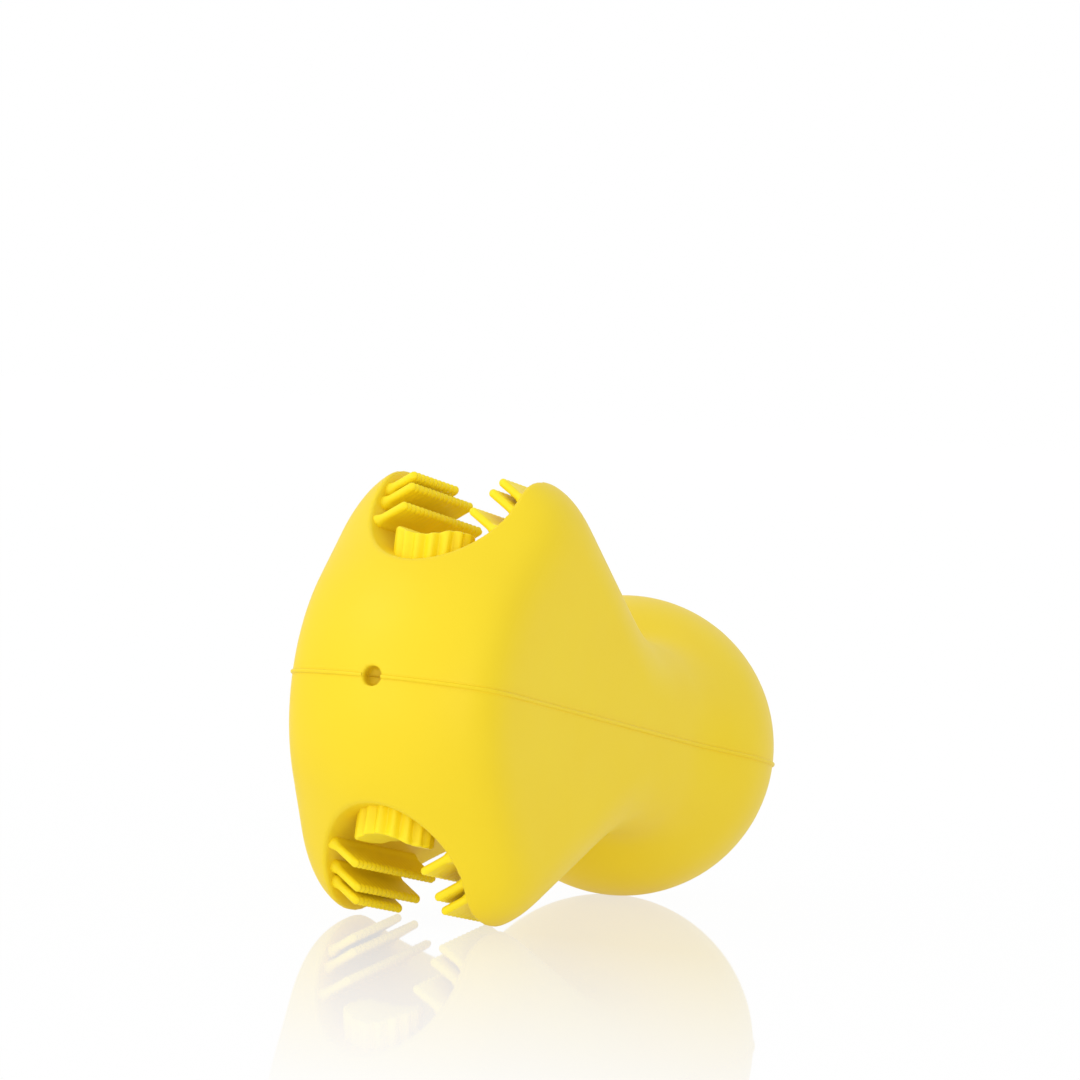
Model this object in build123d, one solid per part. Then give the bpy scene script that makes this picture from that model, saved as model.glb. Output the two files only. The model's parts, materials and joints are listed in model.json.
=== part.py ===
"""Soft moulded grip: a hammer-shaped hollow head with two toothed troughs, a waisted neck and a ball.

Working frame of the body: X across (left is -X), Y along the stem from the domed front to the ball,
Z along the two horns.  After modelling, everything is laid down together in its resting pose, with the
lower horn and the ball on the ground plane Z = 0.  All lengths are in millimetres, all angles in degrees.
"""
import math
import os

from build123d import *

os.makedirs("parts", exist_ok=True)

# ---- head and stem ---------------------------------------------------------------------------------
head_half_height = 40.8      # horn tip to parting plane, at the back of the tip
horn_tip_slope = 3.6         # rise of the horn tips towards their back
head_half_width = 20.0       # half width of the head at the front
side_flare = 0.050          # growth of the half width per mm of stem
side_corner = 13.0           # rounding between the flanks and the horn tips and backs
horn_back_station = 35.0     # where the horn backs turn from level to sloping
horn_back_slope = 32.5
horn_back_radius = 14.0      # rounding of that turn
neck_half_height = 18.0
neck_radius = 22.0           # rounding where the horn backs run out into the neck
nose_radius = 38.0           # roundness of the front face from horn to horn
shoulder_angle = 35.0        # fall of the front face beyond its round nose
front_crown = 30.0           # crown radius of the front face from side to side
front_edge_radius = 6.0      # soft edge between the front face and the sides
ball_radius = 28.3
ball_station = 105.8
neck_blend_radius = 13.0
wall = 3.5                   # rubber wall of the hollow body
cavity_half_height = 18.0    # inner hollow of the head, below the trough floors
cavity_corner = 8.0
chamber_end = 61.0           # where the chamber of the head gives way to the bore of the neck
bore_half_width = 18.0
bulb_bands = 8               # straight bands that make up the round chamber of the ball

# ---- troughs in the horn ends ----------------------------------------------------------------------
trough_radius = 13.4
trough_floor = 21.5          # floor of each trough above the parting plane

# ---- parting line ----------------------------------------------------------------------------------
seam_proud = 0.3             # bead standing off the skin
seam_half_width = 0.35
vent_radius = 1.75           # small hole in the middle of the front face

# ---- fluted studs ----------------------------------------------------------------------------------
stud_radius = 7.0
stud_station = 17.0
stud_top = 27.7
flute_count = 16
flute_depth = 0.8
dish_radius = 10.5           # hollow along the stem in the end of a stud
dish_depth = 1.3
spigot_radius = 2.4
spigot_clearance = 0.05

# ---- fins ------------------------------------------------------------------------------------------
fin_angle = 33.0             # fall of a fin from its tip to its root
fin_thickness = 1.7
tip_chamfer = 0.45
bead_radius = 1.1            # rolled root of a fin
bead_clearance = 0.06
end_clearance = 0.12         # play of a fin between the ends of its seat
scallop_pitch = 2.0
scallop_depth = 0.65
# tip offset from the mid plane, tip height, front end and back end of each fin
fin_table = (
    (6.2, 32.0, 14.0, 48.0),
    (7.4, 35.5, 19.8, 44.5),
    (8.2, 38.0, 21.5, 38.6),
)

# ---- lengths that follow from the ones above -------------------------------------------------------
stem_end = ball_station - 4.0           # the stem runs out inside the ball
clear = head_half_height + 6.0          # reach of the cutting tools past the horns
full = 4.0 * clear                      # reach of the cutting tools past the whole body
front_clear = -6.0                      # reach of the cutting tools ahead of the front face


def half_width(station):
    """Half width of the head and stem, flaring slightly towards the neck."""
    return head_half_width + side_flare * station


def side_outline():
    """Head, horn backs and neck seen from the side, with rounded turns."""
    foot = horn_back_station + (head_half_height - neck_half_height) / math.tan(math.radians(horn_back_slope))
    front = head_half_height - (horn_back_station - front_clear) * math.tan(math.radians(horn_tip_slope))
    upper = [(front_clear, front), (horn_back_station, head_half_height),
             (foot, neck_half_height), (stem_end, neck_half_height)]
    lower = [(s, -h) for s, h in reversed(upper)]
    with BuildSketch(Plane.YZ) as outline:
        with BuildLine():
            Polyline(*upper, *lower, close=True)
        make_face()
        corners = outline.vertices()
        fillet(corners.filter_by_position(Axis.X, horn_back_station - 0.1, horn_back_station + 0.1),
               horn_back_radius)
        fillet(outline.vertices().filter_by_position(Axis.X, foot - 0.1, foot + 0.1), neck_radius)
    return outline.sketch


def flank_wedge():
    """Everything between the two flaring flanks."""
    near, far = half_width(front_clear), half_width(stem_end)
    plan = Polyline((-near, front_clear), (near, front_clear), (far, stem_end), (-far, stem_end), close=True)
    return extrude(make_face(plan), amount=clear, both=True)


def nose_fall(height):
    """How far the middle of the front face has fallen back at a height above the parting plane."""
    a = math.radians(shoulder_angle)
    rise = nose_radius * math.sin(a)
    if height < rise:
        return nose_radius - math.sqrt(nose_radius ** 2 - height ** 2)
    return nose_radius * (1.0 - math.cos(a)) + (height - rise) * math.tan(a)


def crown_fall(across):
    """How far the front face has fallen back at a distance from its middle, square to the face."""
    return front_crown - math.sqrt(front_crown ** 2 - across ** 2)


def nose_keep():
    """Everything behind the domed front face: its crown turned from horn to horn, then run out straight."""
    a = math.radians(shoulder_angle)
    depth = nose_radius - 1.0
    section = Pos(0, front_crown) * Circle(front_crown)
    section = section & Pos(0, depth / 2.0) * Rectangle(3.0 * front_crown, depth)
    middle = Pos(0, (front_crown + depth) / 2.0)
    section = section + middle * Rectangle(2.0 * front_crown, depth - front_crown)
    hub = Axis((0, nose_radius, 0), (1, 0, 0))
    upright = section.rotate(hub, shoulder_angle)
    turned = revolve(upright, axis=hub, revolution_arc=-2.0 * shoulder_angle)
    up = Vector(0.0, math.sin(a), math.cos(a))
    down = Vector(0.0, math.sin(a), -math.cos(a))
    upper = extrude(section.rotate(hub, -shoulder_angle), amount=clear, dir=up)
    lower = extrude(section.rotate(hub, shoulder_angle), amount=clear, dir=down)
    rear = Pos(0, front_crown, 0) * Box(full, full, full,
                                        align=(Align.CENTER, Align.MIN, Align.CENTER))
    return turned + upper + lower + rear


def is_long_edge(edge):
    """True for the edges between the flanks and the horn tips, horn backs and neck."""
    p = edge @ 0.5
    along = abs((edge @ 0.0).X - (edge @ 1.0).X) < 5.0
    outside = abs(p.Z) > neck_half_height - 0.01 and abs(p.X) > head_half_width - 0.5
    return along and outside and front_clear + 0.1 < p.Y < stem_end - 0.1


def off_front(p):
    """Distance of a point behind the domed front face, square to it."""
    a = math.radians(shoulder_angle)
    height = abs(p.Z)
    if height < (nose_radius - p.Y) * math.tan(a):
        return nose_radius - math.hypot(nose_radius - p.Y, height) - crown_fall(p.X)
    return nose_radius - (nose_radius - p.Y) * math.cos(a) - height * math.sin(a) - crown_fall(p.X)


def is_front_edge(edge):
    """True for the outer edges of the front face."""
    if max(abs(off_front(edge @ place)) for place in (0.1, 0.5, 0.9)) > 0.01:
        return False
    p = edge @ 0.5
    outside = max(abs(p.X) / half_width(p.Y), abs(p.Z) / head_half_height) > 0.75
    return outside and abs(p.X) + abs(p.Z) > cavity_half_height


def is_waist_edge(edge):
    """True for the crease between the neck and the near side of the ball."""
    p = edge @ 0.5
    for place in (0.1, 0.5):
        if abs((edge @ place - Vector(0.0, ball_station, 0.0)).length - ball_radius) > 0.01:
            return False
    return chamber_end < p.Y < ball_station - 1.0 and edge.geom_type != GeomType.CIRCLE


def outer_form():
    """Body without troughs: head, neck and ball in one."""
    block = extrude(side_outline(), amount=clear, both=True) & flank_wedge()
    block = fillet([e for e in block.edges() if is_long_edge(e)], side_corner)
    block = block & nose_keep()
    block = fillet([e for e in block.edges() if is_front_edge(e)], front_edge_radius)
    whole = block + Pos(0, ball_station, 0) * Rot(90, 0, 0) * Sphere(ball_radius)
    return fillet([e for e in whole.edges() if is_waist_edge(e)], neck_blend_radius)


def along_stem(sketch, start, end):
    """Solid of a section drawn on the XZ plane between two stations."""
    return Pos(0, start, 0) * extrude(sketch, amount=-(end - start))


def bulb_chamber():
    """Round chamber of the ball, turned about the stem in straight bands."""
    radius = ball_radius - wall
    turns = [math.pi * k / bulb_bands for k in range(bulb_bands + 1)]
    points = [(radius * math.sin(a), ball_station - radius * math.cos(a)) for a in turns]
    points[0] = (0.0, points[0][1])
    points[-1] = (0.0, points[-1][1])
    return revolve(make_face(Polyline(*points, close=True)), axis=Axis.Y)


def chamber_nose():
    """Everything behind the front wall of the head chamber: straight bands turned about the crown axis."""
    step = cavity_half_height / 2.0
    bands = [(wall + nose_fall(abs(k) * step), k * step) for k in (-2, -1, 1, 2)]
    profile = Polyline(*bands, (front_crown, bands[-1][1]), (front_crown, bands[0][1]), close=True)
    face = Plane.YZ * make_face(profile)
    dome = revolve(face, axis=Axis((0, front_crown, 0), (0, 0, 1)))
    rear = Pos(0, front_crown, 0) * Box(full, full, 2.0 * cavity_half_height,
                                        align=(Align.CENTER, Align.MIN, Align.CENTER))
    return dome + rear


def inner_form():
    """Hollow of the body: a chamber in the head, a bore in the neck, a round chamber in the ball."""
    wide, high = head_half_width - wall, cavity_half_height
    section = RectangleRounded(2.0 * wide, 2.0 * high, cavity_corner)
    chamber = along_stem(Plane.XZ * section, -wall, chamber_end) & chamber_nose()
    section = RectangleRounded(2.0 * bore_half_width, 2.0 * (neck_half_height - wall), cavity_corner)
    bore = along_stem(Plane.XZ * section, chamber_end - 10.0, ball_station)
    return chamber + bore + bulb_chamber()


def plan_outline():
    """Outline of the skin in the parting plane, as a sketch."""
    near, far = half_width(0.0), half_width(stem_end)
    flank = make_face(Polyline((-near, 0), (near, 0), (far, stem_end), (-far, stem_end), close=True))
    behind = Pos(0, stem_end / 2.0) * Rectangle(3.0 * far, stem_end)
    nose = Pos(0, front_crown) * (Circle(front_crown) + behind)
    outline = flank & nose
    corners = outline.vertices().filter_by_position(Axis.Y, 0.0, front_crown / 2.0)
    outline = fillet(corners, front_edge_radius)
    outline = outline + Pos(0, ball_station) * Circle(ball_radius)
    waist = outline.vertices().filter_by_position(Axis.Y, chamber_end, ball_station - 1.0)
    return fillet(waist, neck_blend_radius)


def trough_tool(radius):
    """Round-bottomed slot running front to back through the upper horn end."""
    centre = trough_floor + trough_radius
    height = clear - centre
    with BuildSketch(Plane.XZ) as profile:
        with Locations((0, centre)):
            Circle(radius)
        with Locations((0, centre + height / 2.0)):
            Rectangle(2.0 * radius, height)
    return Pos(0, front_clear, 0) * extrude(profile.sketch, amount=-stem_end)


def fin_root(tip_x, tip_z):
    """Bead centre of a fin: from the tip down the fin line to the trough wall."""
    a = math.radians(fin_angle)
    dx, dz = math.cos(a), -math.sin(a)
    centre = trough_floor + trough_radius
    # distance from the tip to the wall, round part first
    rz = tip_z - centre
    b = tip_x * dx + rz * dz
    c = tip_x ** 2 + rz ** 2 - trough_radius ** 2
    reach = -b + math.sqrt(max(b * b - c, 0.0))
    if tip_z + reach * dz > centre:
        reach = (trough_radius - tip_x) / dx
    return tip_x + reach * dx, tip_z + reach * dz, reach


def bead_sketch(row, grow):
    """Rolled root of a fin in section, on the XZ plane."""
    root_x, root_z, reach = fin_root(row[0], row[1])
    with BuildSketch(Plane.XZ) as profile:
        with Locations((root_x, root_z)):
            Circle(bead_radius + grow)
    return profile.sketch


def plate_sketch(row):
    """Flat of a fin in section, from the bead centre to its tip, on the XZ plane."""
    root_x, root_z, reach = fin_root(row[0], row[1])
    with BuildSketch(Plane.XZ) as profile:
        with Locations(((row[0] + root_x) / 2.0, (row[1] + root_z) / 2.0)):
            Rectangle(reach, fin_thickness, rotation=-fin_angle)
        corners = profile.vertices().sort_by_distance((root_x, 0.0, root_z))
        chamfer(corners[-2:], tip_chamfer)
    return profile.sketch


def fin(row):
    """One fin of the upper right set: bead, plate, chamfered tip and scalloped edge."""
    tip_x, tip_z, front, back = row
    section = bead_sketch(row, 0.0) + plate_sketch(row)
    plate = Pos(0, front, 0) * extrude(section, amount=-(back - front))
    a = math.radians(fin_angle)
    count = int((back - front) / scallop_pitch)
    margin = ((back - front) - scallop_pitch * (count - 1)) / 2.0
    # each notch is a square bar on its corner, run through the plate square to its faces
    side = scallop_depth * math.sqrt(2.0)
    notches = []
    for k in range(count):
        y = front + margin + k * scallop_pitch
        across = Plane(origin=(tip_x, y, tip_z), x_dir=(math.cos(a), 0, -math.sin(a)),
                       z_dir=(math.sin(a), 0, math.cos(a)))
        notches.append(across * Rot(0, 0, 45) * Box(side, side, 4.0 * fin_thickness))
    return plate - notches


def seat_tool(row):
    """Half-round seat in the trough wall for the rolled root of one fin."""
    front, back = row[2], row[3]
    seat = extrude(bead_sketch(row, bead_clearance), amount=-(back - front + 2.0 * end_clearance))
    return Pos(0, front - end_clearance, 0) * seat


def stud():
    """Fluted stud of the upper horn with its dished end and its spigot."""
    height = stud_top - trough_floor
    body = Cylinder(stud_radius, height, align=(Align.CENTER, Align.CENTER, Align.MIN))
    # each flute is a square bar on its corner, let into the rim
    side = flute_depth * math.sqrt(2.0)
    flute = Pos(stud_radius, 0, 0) * Rot(0, 0, 45) * Box(side, side, height,
                                                         align=(Align.CENTER, Align.CENTER, Align.MIN))
    flutes = [Rot(0, 0, 360.0 * (k + 0.5) / flute_count) * flute for k in range(flute_count)]
    body = Pos(0, stud_station, trough_floor) * (body - flutes)
    dish_centre = stud_top - dish_depth + dish_radius
    body = body - Pos(0, stud_station, dish_centre) * Rot(90, 0, 0) * Cylinder(dish_radius, 4.0 * stud_radius)
    # the underside follows the round trough floor
    body = body & trough_tool(trough_radius)
    spigot = Pos(0, stud_station, cavity_half_height) * Cylinder(
        spigot_radius, trough_floor - cavity_half_height + 1.0, align=(Align.CENTER, Align.CENTER, Align.MIN))
    return body + spigot


def spigot_tool():
    """Hole for the stud spigot through a trough floor."""
    return Pos(0, stud_station, cavity_half_height - 2.0) * Cylinder(
        spigot_radius + spigot_clearance, trough_floor - cavity_half_height + 4.0,
        align=(Align.CENTER, Align.CENTER, Align.MIN))


def seam_band():
    """Upper half of the bead that stands proud along the parting line."""
    outline = plan_outline()
    outer = offset(outline, amount=seam_proud, kind=Kind.ARC)
    inner = offset(outline, amount=-wall / 2.0, kind=Kind.ARC)
    return extrude(outer - inner, amount=seam_half_width)


def upper_half(skin, hollow):
    """Upper half of the hollow body with its trough, fin grooves, seam bead and spigot hole."""
    slab = Box(full, 2.0 * full, clear, align=(Align.CENTER, Align.CENTER, Align.MIN))
    half = (skin - hollow) & slab
    half = half + seam_band()
    half = half - trough_tool(trough_radius) - spigot_tool() - vent_tool()
    for row in fin_table:
        tool = seat_tool(row)
        half = half - [tool, mirror(tool, about=Plane.YZ)]
    return half


def vent_tool():
    """Small round hole in the middle of the front face, half in each shell."""
    return Pos(0, wall, 0) * Rot(90, 0, 0) * Cylinder(vent_radius, 4.0 * wall)


def resting_tilt():
    """Nose-up tilt of the stem when the part lies on its lower horn tips and its ball."""
    tip, back = math.radians(horn_tip_slope), math.radians(horn_back_slope)
    # centre of the rounded turn between a horn tip and a horn back
    share = horn_back_radius / (1.0 + math.cos(tip + back))
    turn_y = horn_back_station - share * (math.sin(back) - math.sin(tip))
    turn_z = head_half_height - share * (math.cos(back) + math.cos(tip))
    # the side corner takes a little off the tip beside the trough
    inset = trough_radius - (half_width(horn_back_station) - side_corner)
    radius = horn_back_radius - side_corner + math.sqrt(side_corner ** 2 - inset ** 2)
    run = ball_station - turn_y
    return math.acos((ball_radius - radius) / math.hypot(run, turn_z)) - math.atan2(run, turn_z)


def build():
    upper = upper_half(outer_form(), inner_form())
    plug = stud()
    pieces = {
        "upper_shell": upper,
        "lower_shell": mirror(upper, about=Plane.XY),
        "upper_fluted_stud": plug,
        "lower_fluted_stud": mirror(plug, about=Plane.XY),
    }
    for number, row in enumerate(fin_table, 1):
        blade = fin(row)
        pieces["upper_right_fin_%d" % number] = blade
        pieces["upper_left_fin_%d" % number] = mirror(blade, about=Plane.YZ)
        pieces["lower_right_fin_%d" % number] = mirror(blade, about=Plane.XY)
        pieces["lower_left_fin_%d" % number] = Rot(0, 180, 0) * blade
    return pieces


def lay_down(pieces):
    """Tilt everything into the resting pose and put the bottom centre of the whole at the origin."""
    tilt = math.degrees(resting_tilt())
    turned = {name: Rot(-tilt, 0, 0) * part for name, part in pieces.items()}
    boxes = [part.bounding_box() for part in turned.values()]
    low = [min(b.min.X for b in boxes), min(b.min.Y for b in boxes), min(b.min.Z for b in boxes)]
    high = [max(b.max.X for b in boxes), max(b.max.Y for b in boxes), max(b.max.Z for b in boxes)]
    shift = (0.0, -(low[1] + high[1]) / 2.0, -low[2])
    print("tilt %.4f deg, shift %.4f %.4f %.4f" % ((tilt,) + shift))
    print("size %.3f x %.3f x %.3f mm" % tuple(h - l for h, l in zip(high, low)))
    return {name: Pos(*shift) * part for name, part in turned.items()}


for name, part in lay_down(build()).items():
    export_step(part, os.path.join("parts", name + ".step"))
    box = part.bounding_box()
    print("%-20s %9.1f mm3  solids %d  x %7.2f %7.2f  y %7.2f %7.2f  z %6.2f %6.2f" % (
        name, part.volume, len(part.solids()), box.min.X, box.max.X,
        box.min.Y, box.max.Y, box.min.Z, box.max.Z))
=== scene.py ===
import json
import math

import bmesh
import bpy
from mathutils import Matrix, Vector


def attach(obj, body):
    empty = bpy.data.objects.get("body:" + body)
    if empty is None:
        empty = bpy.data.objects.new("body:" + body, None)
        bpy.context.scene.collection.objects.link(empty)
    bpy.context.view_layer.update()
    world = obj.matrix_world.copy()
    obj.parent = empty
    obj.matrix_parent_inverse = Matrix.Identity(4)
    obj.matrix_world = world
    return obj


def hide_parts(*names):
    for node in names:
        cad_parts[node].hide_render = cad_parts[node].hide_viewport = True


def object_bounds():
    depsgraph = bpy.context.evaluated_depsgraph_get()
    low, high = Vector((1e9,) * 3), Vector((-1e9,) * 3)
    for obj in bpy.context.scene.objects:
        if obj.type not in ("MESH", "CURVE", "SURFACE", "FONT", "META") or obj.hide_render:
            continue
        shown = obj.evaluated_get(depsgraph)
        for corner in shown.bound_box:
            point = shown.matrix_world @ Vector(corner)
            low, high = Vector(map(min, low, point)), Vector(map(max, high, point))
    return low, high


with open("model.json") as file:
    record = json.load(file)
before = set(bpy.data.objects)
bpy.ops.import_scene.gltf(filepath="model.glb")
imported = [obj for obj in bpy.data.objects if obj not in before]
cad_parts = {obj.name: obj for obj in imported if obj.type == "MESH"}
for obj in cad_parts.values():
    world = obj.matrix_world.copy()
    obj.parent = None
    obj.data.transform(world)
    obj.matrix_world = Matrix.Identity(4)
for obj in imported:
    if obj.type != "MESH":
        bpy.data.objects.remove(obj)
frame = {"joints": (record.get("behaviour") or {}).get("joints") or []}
cad_box = [list(corner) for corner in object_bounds()]

# ---- Body skin, in two halves -------------------------------------------------------------------------
# The hammer-shaped head, its neck and the bulb are one thick skin of satin rubber, coloured through.  It
# is moulded in two halves that meet along a parting plane.  Each horn tip has a round-bottomed trough
# across it from front to back, and a small air hole opens in the middle of the domed front.
head_half_height = 40.8      # horn tip to parting plane, at the back of the tip; every size is in mm
horn_tip_slope = math.radians(3.6)
horn_back_station = 35.0
horn_back_slope = math.radians(32.5)
horn_turn_softness = 5.0     # where a horn's tip turns into its back
neck_half_height = 18.0
horn_root_softness = 8.0     # where a horn's back runs into the neck
head_half_width = 20.2
side_flare = 0.05            # growth of the half width per mm of stem
side_corner = 13.0
nose_radius = 38.0           # roundness of the front from horn to horn
shoulder_angle = math.radians(35.0)
front_crown = 32.0           # roundness of the front from side to side
front_edge = 6.0             # softness of the edge round the front
bulb_radius = 28.3
bulb_station = 105.8         # bulb centre behind the front face
neck_end = 96.0              # where the neck stops inside the bulb
neck_end_softness = 10.0
neck_blend = 7.0
trough_radius = 13.4
trough_floor = 21.5
trough_end = 76.0            # behind the horn backs, before the bulb
trough_lip = 1.0
vent_radius = 1.75
vent_depth = 2.6
vent_lip = 0.5
skin_grid = 0.44      # between the samples of a form
skin_band = 1.0              # on each side of a skin, where its volume fades from full to empty
skin_margin = 1.5            # from the skin to the end of the sampled box
front_margin = 2.0
layers_below = 3             # of samples, under the parting plane

# The moulding lies on the tips of its lower horn and on its bulb, so its stem points a little up.  Every
# piece is shaped in the moulding's own frame: x across, y along the stem from the domed front to the
# bulb, z along the horns.  to_world lays a finished mesh down, in metres.
stem = Vector(frame["joints"][0]["axis"])
tilt = math.atan2(-stem.z, stem.y)
cad_low, cad_high = (Vector(end) * 1000.0 for end in cad_box)
bulb_centre = Vector((0.0, cad_high.y - bulb_radius, cad_low.z + bulb_radius))
to_world = (Matrix.Scale(0.001, 4) @ Matrix.Translation(bulb_centre) @ Matrix.Rotation(-tilt, 4, "X")
            @ Matrix.Translation((0.0, -bulb_station, 0.0)))

# The rubber is a warm egg yellow with faint clouds in the colour, a fine matt grain from the mould wall,
# and slightly shinier and duller patches.
rubber_yellow = (0.915, 0.700, 0.022, 1.0)
rubber_deep = (0.900, 0.655, 0.016, 1.0)
rubber_roughness = (0.40, 0.50)
rubber_specular = 0.22
cloud_size = 18.0
patch_size = 8.0
grain_size = 0.55
grain_height = 0.012


class Term:
    """A socket in a node tree that can stand in a sum; each operation on it adds one Math node."""

    def __init__(self, tree, socket):
        self.tree = tree
        self.socket = socket

    def output(self, name):
        """Another output of the same node."""
        return Term(self.tree, self.socket.node.outputs[name])

    def math(self, operation, *others):
        return add(self.tree, "ShaderNodeMath", {"operation": operation}, self, *others)

    def __add__(self, other):
        return self.math("ADD", other)

    def __mul__(self, other):
        return self.math("MULTIPLY", other)

    __radd__ = __add__
    __rmul__ = __mul__

    def __sub__(self, other):
        return self.math("SUBTRACT", other)

    def __rsub__(self, other):
        return self.math("MULTIPLY_ADD", -1.0, other)

    def __truediv__(self, other):
        return self.math("DIVIDE", other)

    def __neg__(self):
        return self.math("MULTIPLY", -1.0)

    def __abs__(self):
        return self.math("ABSOLUTE")

    def sqrt(self):
        return self.math("SQRT")

    def sin(self):
        return self.math("SINE")

    def cos(self):
        return self.math("COSINE")

    def above(self, other):
        return self.math("GREATER_THAN", other)

    def atleast(self, other):
        return self.math("MAXIMUM", other)

    def atmost(self, other):
        return self.math("MINIMUM", other)

    def join(self, other, softness):
        """Distance to two forms joined, with a fillet between them."""
        return self.math("SMOOTH_MIN", other, softness)

    def cut(self, other, softness):
        """Distance to what two forms share, with a softened edge."""
        return self.math("SMOOTH_MAX", other, softness)


def plug(socket, term):
    """Feeds a socket from a term, or sets it to a plain value."""
    if isinstance(term, Term):
        term.tree.links.new(term.socket, socket)
    else:
        socket.default_value = term


def add(tree, kind, settings, *feeds, **named):
    """Adds a node, sets it up, feeds its inputs in order and by name, and returns its first output."""
    node = tree.nodes.new(kind)
    for key, value in settings.items():
        setattr(node, key, value)
    for place, term in enumerate(feeds):
        plug(node.inputs[place], term)
    for key, term in named.items():
        plug(node.inputs[key.replace("_", " ")], term)
    return Term(tree, node.outputs[0]) if node.outputs else None


def satin(name, bright, deep):
    """A satin rubber whose colour drifts between two tones."""
    material = bpy.data.materials.new(name)
    material.use_nodes = True
    tree = material.node_tree
    surface = tree.nodes["Principled BSDF"]
    where = add(tree, "ShaderNodeTexCoord", {}).output("Object")
    cloud = add(tree, "ShaderNodeTexNoise", {}, where, Scale=1000.0 / cloud_size, Detail=3.0)
    patch = add(tree, "ShaderNodeTexNoise", {}, where, Scale=1000.0 / patch_size, Detail=4.0)
    grain = add(tree, "ShaderNodeTexNoise", {}, where, Scale=1000.0 / grain_size, Detail=2.0, Roughness=0.6)
    tone = add(tree, "ShaderNodeMix", {"data_type": "RGBA"}, Factor=cloud, A=deep, B=bright)
    plug(surface.inputs["Base Color"], tone.output("Result"))
    shiny, dull = rubber_roughness
    plug(surface.inputs["Roughness"], patch * (dull - shiny) + shiny)
    relief = add(tree, "ShaderNodeBump", {}, Strength=1.0, Distance=grain_height * 0.001, Height=grain)
    plug(surface.inputs["Normal"], relief)
    plug(surface.inputs["Specular IOR Level"], rubber_specular)
    return material


rubber = satin("satin_yellow_rubber", rubber_yellow, rubber_deep)


def new_tree(name, sizes, takes_line=False):
    """Starts a node group with a named input for each size, returned with its inputs as terms."""
    tree = bpy.data.node_groups.new(name, "GeometryNodeTree")
    if takes_line:
        tree.interface.new_socket("Line", in_out="INPUT", socket_type="NodeSocketGeometry")
    tree.interface.new_socket("Geometry", in_out="OUTPUT", socket_type="NodeSocketGeometry")
    for key in sizes:
        tree.interface.new_socket(key, in_out="INPUT", socket_type="NodeSocketFloat")
    group = add(tree, "NodeGroupInput", {}).socket.node
    return tree, [Term(tree, output) for output in group.outputs[:-1]]


def split(vector):
    """The three parts of a vector as terms."""
    parts = add(vector.tree, "ShaderNodeSeparateXYZ", {}, vector)
    return [parts.output(axis) for axis in "XYZ"]


def new_form(name, sizes):
    """Starts a form: a node group, its sizes, and the place at which its distance is worked out."""
    tree, terms = new_tree(name, sizes)
    return tree, terms, split(add(tree, "GeometryNodeInputPosition", {}))


def length(*parts):
    """Length of the vector with these parts."""
    total = parts[0] * parts[0]
    for part in parts[1:]:
        total = total + part * part
    return total.sqrt()


def corner(first, second, radius):
    """Distance to the inside of two faces that are square to each other, with a rounded edge between."""
    inner = first.atleast(second).atmost(-1.0 * radius)
    return inner + length((first + radius).atleast(0.0), (second + radius).atleast(0.0))


def finish_tree(tree, geometry, material):
    """Ends a node group: real geometry in its rubber."""
    real = add(tree, "GeometryNodeRealizeInstances", {}, geometry)
    made = add(tree, "GeometryNodeSetMaterial", {}, Geometry=real, Material=material)
    add(tree, "NodeGroupOutput", {}, made)


def end_form(tree, distance, low, high, grid, material):
    """Ends a form: a smooth closed skin where the distance is nought, inside a box sampled on a grid."""
    box = [add(tree, "ShaderNodeCombineXYZ", {}, *ends) for ends in (low, high)]
    counts = [(top - bottom) / grid + 1.0 for bottom, top in zip(low, high)]
    counts = [count if isinstance(count, Term) else round(count) for count in counts]
    inside = (skin_band - distance).atleast(0.0).atmost(2.0 * skin_band)
    volume = add(tree, "GeometryNodeVolumeCube", {}, inside, 0.0, *box, *counts)
    skin = add(tree, "GeometryNodeVolumeToMesh", {"resolution_mode": "GRID"},
               Volume=volume, Threshold=skin_band)
    smooth = add(tree, "GeometryNodeSetShadeSmooth", {}, Geometry=skin)
    finish_tree(tree, smooth, material)


def grow(name, tree, sizes, line=None):
    """Makes an object from a node group; its mesh is plain and still in the moulding's frame."""
    piece = bpy.data.objects.new(name, line or bpy.data.meshes.new(name))
    bpy.context.scene.collection.objects.link(piece)
    modifier = piece.modifiers.new(name, "NODES")
    modifier.node_group = tree
    for item in tree.interface.items_tree:
        if item.in_out == "INPUT" and item.name in sizes:
            modifier[item.identifier] = float(sizes[item.name])
    depsgraph = bpy.context.evaluated_depsgraph_get()
    mesh = bpy.data.meshes.new_from_object(piece.evaluated_get(depsgraph))
    piece.modifiers.clear()
    piece.data = mesh
    mesh.name = name
    if len(mesh.materials) > 1:      # the skin from a volume starts with an empty slot
        mesh.materials.pop(index=0)
        mesh.polygons.foreach_set("material_index", [0] * len(mesh.polygons))
    return piece


skin_sizes = {
    "Head half height": head_half_height, "Neck half height": neck_half_height,
    "Head half width": head_half_width, "Side flare": side_flare, "Side corner": side_corner,
    "Nose radius": nose_radius, "Front crown": front_crown, "Front edge": front_edge,
    "Bulb radius": bulb_radius, "Bulb station": bulb_station, "Neck end": neck_end, "Neck blend": neck_blend,
    "Trough radius": trough_radius, "Trough floor": trough_floor, "Trough end": trough_end,
    "Vent radius": vent_radius, "Vent depth": vent_depth}
tree, terms, (across, station, height) = new_form("rubber_skin", skin_sizes)
(half_height, neck_height, half_width, flare, side_round, nose_round, crown, front_soft,
 bulb_round, bulb_place, neck_stop, neck_soft, trough_round, trough_bed, trough_stop,
 vent_round, vent_bottom) = terms
outward = abs(across)
upward = abs(height)
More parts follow.
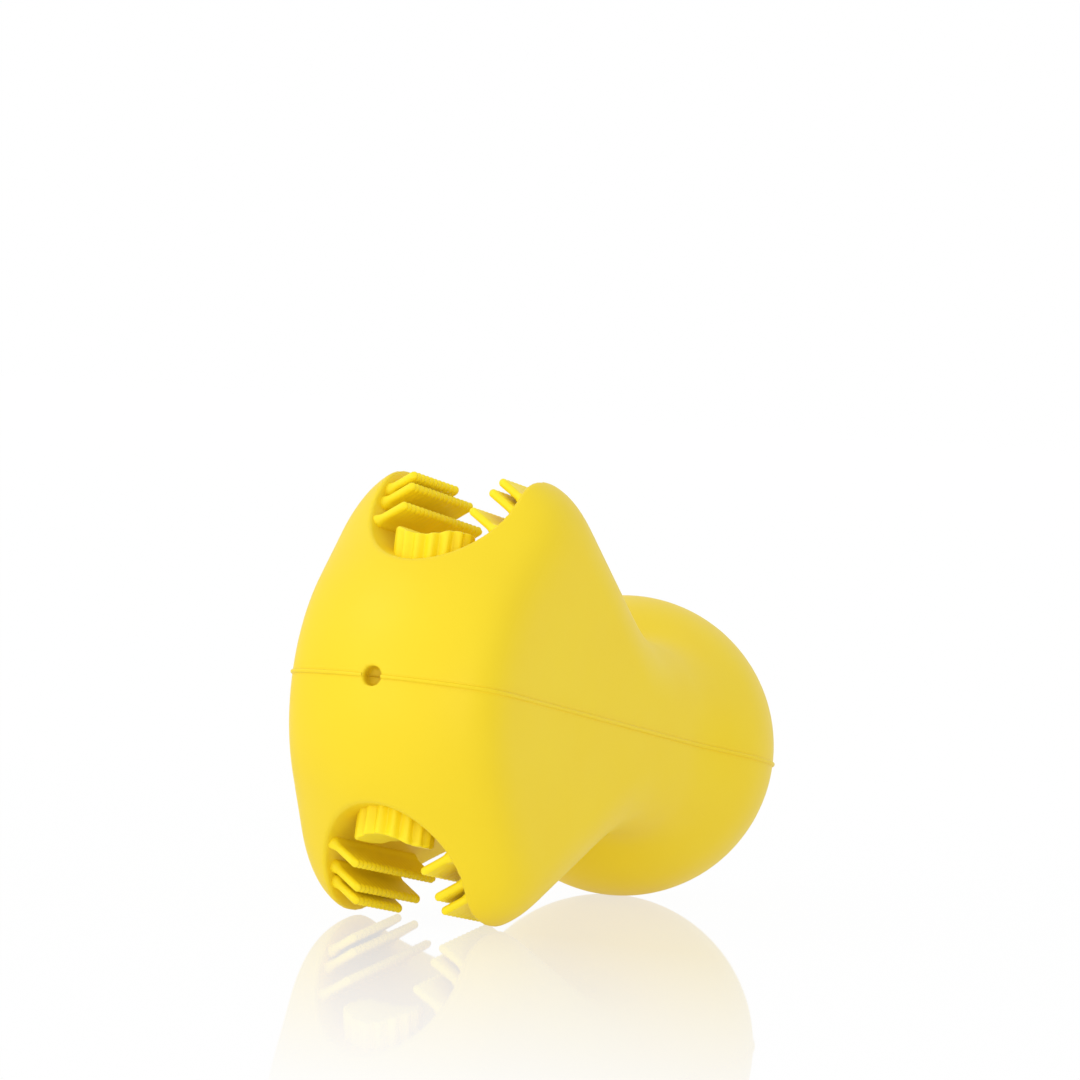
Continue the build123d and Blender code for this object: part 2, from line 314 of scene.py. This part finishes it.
# side outline: horn tip, horn back and neck
past_turn = station - horn_back_station
over_tip = upward - half_height
tip_face = over_tip * math.cos(horn_tip_slope) - past_turn * math.sin(horn_tip_slope)
back_face = over_tip * math.cos(horn_back_slope) + past_turn * math.sin(horn_back_slope)
profile = tip_face.cut(back_face, horn_turn_softness).join(upward - neck_height, horn_root_softness)
# flanks
flank = outward - half_width - station * flare
block = corner(flank, profile, side_round)
# domed front: a round crown carried round from horn to horn, then straight out
before = nose_round - station
on_shoulder = (upward * math.cos(shoulder_angle) - before * math.sin(shoulder_angle)).above(0.0)
round_part = nose_round - length(before, height)
straight_part = nose_round - before * math.cos(shoulder_angle) - upward * math.sin(shoulder_angle)
depth = round_part + (straight_part - round_part) * on_shoulder
front = length(across, (crown - depth).atleast(0.0)) - crown
head = block.cut(front, front_soft).cut(station - neck_stop, neck_end_softness)
bulb = length(across, station - bulb_place, height) - bulb_round
body = head.join(bulb, neck_soft)
# trough and air hole
over_bed = (trough_bed + trough_round - upward).atleast(0.0)
trough = (trough_round - length(across, over_bed)).atmost(trough_stop - station)
body = body.cut(trough, trough_lip)
vent = (vent_round - length(across, height)).atmost(vent_bottom - station)
body = body.cut(vent, vent_lip)
# a layer of samples lies in the parting plane, so that the cut there leaves no slivers
layers_above = math.ceil((head_half_height + skin_margin) / skin_grid)
side_end = bulb_radius + skin_margin
end_form(tree, body, (-side_end, -front_margin, -layers_below * skin_grid),
         (side_end, bulb_station + side_end, layers_above * skin_grid), skin_grid, rubber)
skin = grow("skin", tree, skin_sizes)


def cut_half(whole):
    """Leaves the half of a mesh above the parting plane, closed there, and returns the line of the cut."""
    mesh = bmesh.new()
    mesh.from_mesh(whole)
    bmesh.ops.bisect_plane(mesh, geom=mesh.verts[:] + mesh.edges[:] + mesh.faces[:], dist=1e-4,
                           plane_co=(0.0, 0.0, 0.0), plane_no=(0.0, 0.0, -1.0), clear_outer=True)
    rim = [edge for edge in mesh.edges if edge.is_boundary]
    loop = [rim[0].verts[0]]
    last = None
    while len(loop) < len(rim):
        last = next(edge for edge in loop[-1].link_edges if edge.is_boundary and edge is not last)
        loop.append(last.other_vert(loop[-1]))
    line = [vert.co.copy() for vert in loop]
    lid = mesh.faces.new(loop)
    for edge in rim:
        edge.smooth = False
    bmesh.ops.triangulate(mesh, faces=[lid])
    bmesh.ops.recalc_face_normals(mesh, faces=mesh.faces[:])
    mesh.to_mesh(whole)
    mesh.free()
    return line


def lay_down(piece, body, node, flips=()):
    """Mirrors a piece along some axes, lays it down in the resting pose and hands it to its body."""
    mesh = piece.data
    for axis in flips:
        mesh.transform(Matrix.Scale(-1.0, 4, axis))
        mesh.flip_normals()
    mesh.transform(to_world)
    mesh.update()
    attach(piece, body)
    if node:
        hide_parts(node)


x_axis = Vector((1.0, 0.0, 0.0))
z_axis = Vector((0.0, 0.0, 1.0))
parting_line = cut_half(skin.data)
for node, flips in (("upper_shell", ()), ("lower_shell", (z_axis,))):
    piece = bpy.data.objects.new(node + "_skin", skin.data.copy())
    bpy.context.scene.collection.objects.link(piece)
    lay_down(piece, "shell", node, flips)
bpy.data.objects.remove(skin)

# ---- Parting bead -------------------------------------------------------------------------------------
# A thin raised line of rubber where the two halves of the mould met.  It runs right round the skin in
# the parting plane, stops at the air hole, and is a little uneven in height.
bead_half_width = 0.40
bead_spacing = 0.5           # between sections
bead_sides = 10
bead_waver = 0.18            # share by which the bead grows and shrinks
bead_drift = 0.11            # how fast it does so, per mm
beside_vent = 0.1            # clearance on each side of the hole
behind_vent = 2.0            # and behind it, where the line runs down into it

clear_of_vent = [point for point in parting_line
                 if abs(point.x) > vent_radius + beside_vent or point.y > vent_depth + behind_vent]
steps = [(clear_of_vent[k] - clear_of_vent[k - 1]).length for k in range(len(clear_of_vent))]
past_vent = steps.index(max(steps))
path = clear_of_vent[past_vent:] + clear_of_vent[:past_vent]
rail = bpy.data.meshes.new("parting_rail")
rail.from_pydata(path, [(k, k + 1) for k in range(len(path) - 1)], [])

bead_sizes = {"Half width": bead_half_width, "Spacing": bead_spacing, "Waver": bead_waver}
tree, (line, half_width, spacing, waver) = new_tree("parting_bead", bead_sizes, takes_line=True)
curve = add(tree, "GeometryNodeMeshToCurve", {}, line)
curve = add(tree, "GeometryNodeResampleCurve", {"mode": "LENGTH"}, Curve=curve, Length=spacing)
drift = add(tree, "ShaderNodeTexNoise", {}, Scale=bead_drift, Detail=2.0)
swell = (drift - 0.5) * waver * 2.0 + 1.0
ring = add(tree, "GeometryNodeCurvePrimitiveCircle", {}, Resolution=bead_sides, Radius=half_width)
tube = add(tree, "GeometryNodeCurveToMesh", {}, curve, ring, Scale=swell, Fill_Caps=True)
tube = add(tree, "GeometryNodeSetShadeSmooth", {}, Geometry=tube)
finish_tree(tree, tube, rubber)
bead = grow("parting_bead", tree, bead_sizes, rail)
lay_down(bead, "shell", None)

# ---- Fluted studs -------------------------------------------------------------------------------------
# A short round stud stands on each trough's floor near its front, moulded in one with the skin.  Sixteen
# soft flutes run up its side and fade at the rim, and its end is dished along the stem.  Thin rubber lets
# some light through; here that glow is painted, as a paler base colour on studs and fins than on the skin.
# painted glow: these paler tones stand in for light coming through the thin rubber
painted_glow_yellow = (0.990, 0.810, 0.020, 1.0)
painted_glow_deep = (0.985, 0.770, 0.014, 1.0)
stud_radius = 7.0
stud_station = 17.0
stud_top = 27.7
stud_foot = 20.3             # below the trough floor, inside the skin
stud_rim = 1.1               # softness of the rim
flute_count = 16
flute_depth = 1.0
flute_sharpness = 0.7        # under 1, the ridges are full and the flutes between them narrow
flute_loss = 0.65            # share of the depth that is gone at the rim
flute_fade = 8.0             # how late on the way up it goes
dish_radius = 10.5
dish_depth = 1.3
dish_edge = 0.5
stud_grid = 0.17
stud_margin = 1.0            # from the side to the end of the sampled box
foot_margin = 0.6
top_margin = 0.8
painted_glow_rubber = satin("yellow_rubber_painted_glow", painted_glow_yellow, painted_glow_deep)

stud_sizes = {"Radius": stud_radius, "Top": stud_top, "Foot": stud_foot, "Flutes": flute_count,
              "Flute depth": flute_depth, "Dish radius": dish_radius, "Dish depth": dish_depth}
tree, (radius, top, foot, flutes, flute, dish, dish_deep), (across, along, height) = new_form(
    "fluted_stud", stud_sizes)
turn = along.math("ARCTAN2", across)
ridge = ((turn * flutes).cos() * 0.5 + 0.5).math("POWER", flute_sharpness)
fade = ((height - foot) / (top - foot)).math("POWER", flute_fade)
side = length(across, along) - radius + (1.0 - ridge) * flute * (1.0 - fade * flute_loss)
hollow = dish - length(across, height - (top - dish_deep + dish))
stud = side.cut(height - top, stud_rim).cut(hollow, dish_edge).atleast(foot - height)
end_form(tree, stud, (-radius - stud_margin, -radius - stud_margin, foot - foot_margin),
         (radius + stud_margin, radius + stud_margin, top + top_margin), stud_grid, painted_glow_rubber)
for node, flips in (("upper_fluted_stud", ()), ("lower_fluted_stud", (z_axis,))):
    piece = grow(node + "_rubber", tree, stud_sizes)
    piece.data.transform(Matrix.Translation((0.0, stud_station, 0.0)))
    lay_down(piece, "shell", node, flips)

# ---- Trough fins --------------------------------------------------------------------------------------
# Three thin blades stand out from each trough wall, one above the other, falling towards their roots.
# Each tip is a row of small round scallops with faint ribs behind them.  The blades are soft and give
# a little about their roots, so each rides on its own body.
fin_angle = math.radians(33.0)
fin_thickness = 1.45
root_radius = 1.1
root_blend = 1.2
scallop_pitch = 1.65
scallop_depth = 0.60
rib_height = 0.10
rib_length = 4.5             # from the tip to where the ribs have faded out
rib_sink = 0.6               # share of a rib's height that lies under the blade's plain face
fin_grid = 0.17
fin_margin = 0.8             # from the tip and the ends to the end of the sampled box
root_margin = 1.6
# tip offset from the mid plane, tip height, front end and back end of each blade
fin_table = ((6.2, 32.0, 16.0, 48.0), (7.4, 36.0, 20.3, 45.5), (8.2, 38.2, 22.0, 40.6))

fin_names = ["Length", "Reach", "Thickness", "Root radius", "Scallop pitch", "Scallop depth", "Rib height"]
tree, (long, reach, thick, root, pitch, scallop, rib), (along, out, up) = new_form("trough_fin", fin_names)
wave = abs((along * math.pi / pitch).sin())
tip = reach - thick * 0.5 - scallop * (1.0 - wave)
near_tip = (1.0 - (reach - out) / rib_length).atleast(0.0).atmost(1.0)
half = thick * 0.5 + (wave - rib_sink) * rib * near_tip
past_end = abs(along - long * 0.5) - long * 0.5 + half
blade = length(past_end.atleast(0.0), (out - tip).atleast(0.0), up) - half
roll = length(past_end.atleast(0.0), out, up) - root
fin = blade.join(roll, root_blend)
# the blades take the paler rubber, whose painted glow stands in for light through the thin blades
end_form(tree, fin, (-fin_margin, -root_margin, -root_margin),
         (long + fin_margin, reach + fin_margin, thick), fin_grid, painted_glow_rubber)

out_axis = Vector((-math.cos(fin_angle), 0.0, math.sin(fin_angle)))
up_axis = Vector((math.sin(fin_angle), 0.0, math.cos(fin_angle)))
slant = Matrix(((0.0, out_axis.x, up_axis.x), (1.0, 0.0, 0.0), (0.0, out_axis.z, up_axis.z))).to_4x4()
bed_centre = trough_floor + trough_radius
for number, (tip_across, tip_height, front_end, back_end) in enumerate(fin_table, 1):
    # the root lies where the blade's line meets the round bed of the trough, or its upright wall above
    tip_point = Vector((tip_across, 0.0, tip_height - bed_centre))
    half_chord = tip_point.dot(out_axis)
    fin_reach = half_chord + math.sqrt(half_chord ** 2 - tip_point.length_squared + trough_radius ** 2)
    if tip_height - fin_reach * math.sin(fin_angle) > bed_centre:
        fin_reach = (trough_radius - tip_across) / math.cos(fin_angle)
    root_point = Vector((tip_across, front_end, tip_height)) - out_axis * fin_reach
    place = Matrix.Translation(root_point) @ slant
    fin_sizes = dict(zip(fin_names, (back_end - front_end, fin_reach, fin_thickness, root_radius,
                                     scallop_pitch, scallop_depth, rib_height)))
    for end, end_flip in (("upper", ()), ("lower", (z_axis,))):
        for side, side_flip in (("right", ()), ("left", (x_axis,))):
            node = "%s_%s_fin_%d" % (end, side, number)
            piece = grow(node + "_blade", tree, fin_sizes)
            piece.data.transform(place)
            lay_down(piece, node, node, end_flip + side_flip)

# ---- Floor and studio ---------------------------------------------------------------------------------
# A plain white table top, slightly polished towards the back, which keeps a faint shadow of the moulding.
# The light is plain and soft from all round, with one large lamp high in front on the left and two weaker
# ones low in front.  Sizes here are in metres.
floor_half_size = 6.0
floor_gap = 0.00002          # keeps the floor clear of the lowest blades
floor_polish = 0.38          # mirror share of the floor at polish_back
polish_front = -0.27         # where the polish is gone
polish_back = -0.04
polish_roughness = 0.03
table_white = (0.60, 0.60, 0.60, 1.0)
table_glow = 0.34            # light that the white table top gives off by itself
shadow_share = 0.06
shadow_reach = 0.35          # from the middle of the moulding
soft_light = 0.79
pure_white = (1.0, 1.0, 1.0, 1.0)


def shows_studio(tree):
    """One for a ray that shows the studio's white: straight from the camera, or by way of gloss or glass."""
    rays = add(tree, "ShaderNodeLightPath", {})
    straight = rays.output("Is Camera Ray")
    return straight.atleast(rays.output("Is Glossy Ray")).atleast(rays.output("Is Transmission Ray"))


def lamp(name, spot, aim, size, power):
    """A square soft lamp, turned towards a point."""
    light = bpy.data.lights.new(name, "AREA")
    light.size = size
    light.energy = power
    holder = bpy.data.objects.new(name, light)
    holder.location = spot
    holder.rotation_euler = (Vector(aim) - Vector(spot)).to_track_quat("-Z", "Y").to_euler()
    bpy.context.scene.collection.objects.link(holder)


floor_level = cad_low.z * 0.001 - floor_gap
floor_corners = [(x * floor_half_size, y * floor_half_size, floor_level)
                 for x, y in ((-1, -1), (1, -1), (1, 1), (-1, 1))]
mesh = bpy.data.meshes.new("studio_floor")
mesh.from_pydata(floor_corners, [], [(0, 1, 2, 3)])
floor_piece = bpy.data.objects.new("studio_floor", mesh)
bpy.context.scene.collection.objects.link(floor_piece)

plain = bpy.data.materials.new("studio_white")
plain.use_nodes = True
tree = plain.node_tree
tree.nodes.clear()
from_left, from_front, _ = split(add(tree, "ShaderNodeTexCoord", {}).output("Object"))
away = (length(from_left, from_front) / shadow_reach).atmost(1.0)
polish = (from_front - polish_front) / (polish_back - polish_front)
polish = polish.atleast(0.0).atmost(1.0) * floor_polish
white = add(tree, "ShaderNodeEmission", {}, Color=pure_white, Strength=1.0)
matt = add(tree, "ShaderNodeBsdfDiffuse", {}, Color=table_white)
glow = add(tree, "ShaderNodeEmission", {}, Color=pure_white, Strength=table_glow)
matt = add(tree, "ShaderNodeAddShader", {}, matt, glow)
mirror = add(tree, "ShaderNodeBsdfGlossy", {}, Color=pure_white, Roughness=polish_roughness)
shadowed = add(tree, "ShaderNodeMixShader", {}, shadow_share * (1.0 - away), white, matt)
polished = add(tree, "ShaderNodeMixShader", {}, polish, shadowed, mirror)
ground = add(tree, "ShaderNodeMixShader", {}, shows_studio(tree), matt, polished)
add(tree, "ShaderNodeOutputMaterial", {}, Surface=ground)
mesh.materials.append(plain)

world = bpy.data.worlds.new("studio")
bpy.context.scene.world = world
world.use_nodes = True
tree = world.node_tree
tree.nodes.clear()
strength = shows_studio(tree) * (1.0 - soft_light) + soft_light
sky = add(tree, "ShaderNodeBackground", {}, Color=pure_white, Strength=strength)
add(tree, "ShaderNodeOutputWorld", {}, Surface=sky)

lamp("key_lamp", spot=(-0.55, -0.65, 0.75), aim=(0.0, 0.0, 0.04), size=0.5, power=2.2)
lamp("front_fill_lamp", spot=(-0.30, -0.90, 0.05), aim=(0.0, 0.0, 0.03), size=0.4, power=1.3)
lamp("low_fill_lamp", spot=(0.50, -0.80, 0.06), aim=(0.0, 0.0, 0.03), size=0.4, power=1.4)

# ---- Camera -------------------------------------------------------------------------------------------
# Stands a metre in front and to the right, a little above the middle of the moulding, and is turned
# slightly about its view.  Its place is given in the moulding's frame.
view_aim = Vector((11.354, 35.234, 29.671))
view_line = Vector((-0.4365, 0.8943, 0.0985))
view_up = Vector((-0.0764, -0.1460, 0.9863))
view_distance = 1000.2
lens_length = 188.37
sensor_width = 36.0

back = -view_line.normalized()
right = view_up.cross(back).normalized()
turned = Matrix((right, back.cross(right), back)).transposed()
camera = bpy.data.cameras.new("camera")
camera.lens = lens_length
camera.sensor_width = sensor_width
camera_holder = bpy.data.objects.new("camera", camera)
placed = to_world @ (Matrix.Translation(view_aim + back * view_distance) @ turned.to_4x4())
camera_holder.matrix_world = Matrix.LocRotScale(placed.translation, placed.to_quaternion(), None)
bpy.context.scene.collection.objects.link(camera_holder)
bpy.context.scene.camera = camera_holder
bpy.context.scene.view_settings.view_transform = "Standard"
